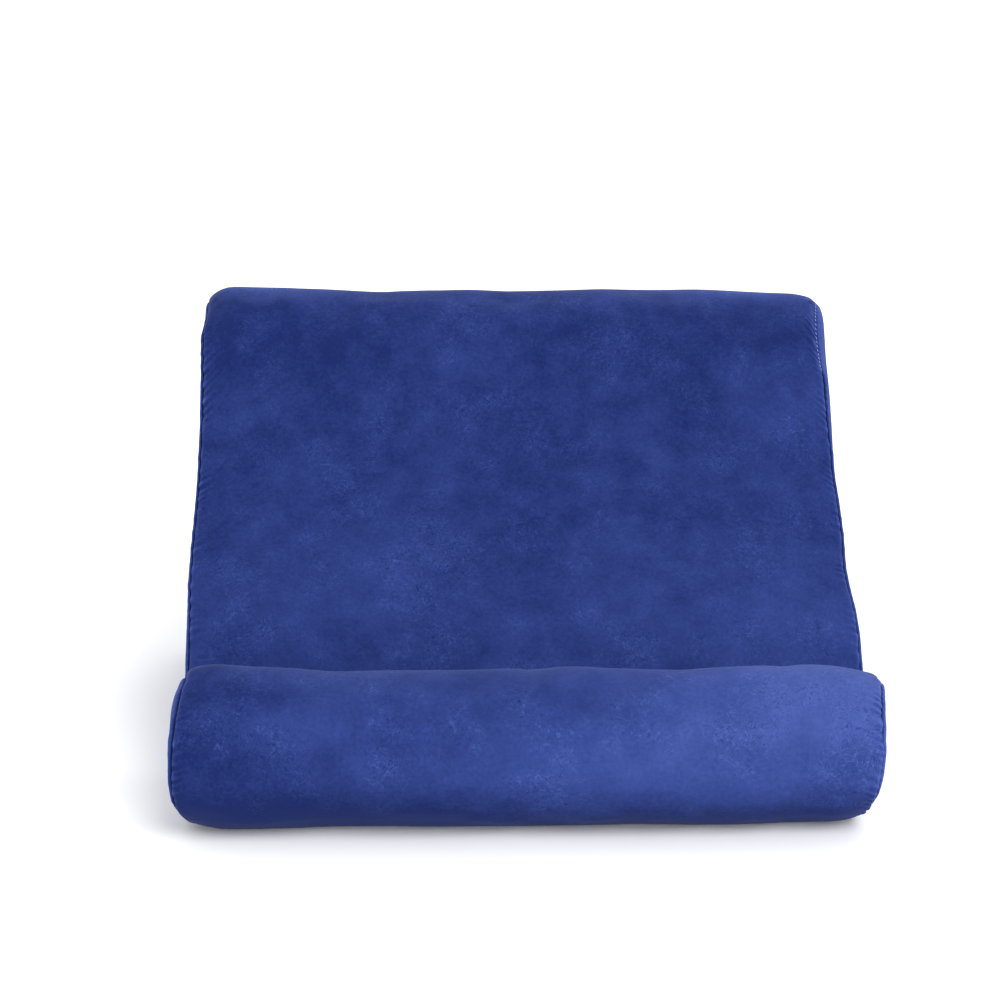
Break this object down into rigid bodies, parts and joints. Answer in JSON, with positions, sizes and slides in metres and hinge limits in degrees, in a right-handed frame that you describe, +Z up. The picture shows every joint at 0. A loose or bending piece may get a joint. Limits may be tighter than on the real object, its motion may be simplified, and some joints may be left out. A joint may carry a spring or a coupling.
{
  "type": "tablet pillow stand",
  "caption": "Soft blue velvet wedge cushion with a stuffed roll along its front foot, which props a tablet or book at a reading angle.",
  "frame": {"origin": "middle of the stand's outline on the surface it stands on", "axes": "+Z up, +X to the sitter's right along the roll, +Y from the roll towards the back"},
  "size_m": [0.285, 0.2494, 0.1822],
  "materials": {
    "velvet": "short plush pile, mottled nap, soft sheen at grazing angles"
  },
  "bodies": {
    "root": {"wedge_cushion": "velvet", "front_roll": "velvet"}
  },
  "joints": []
}
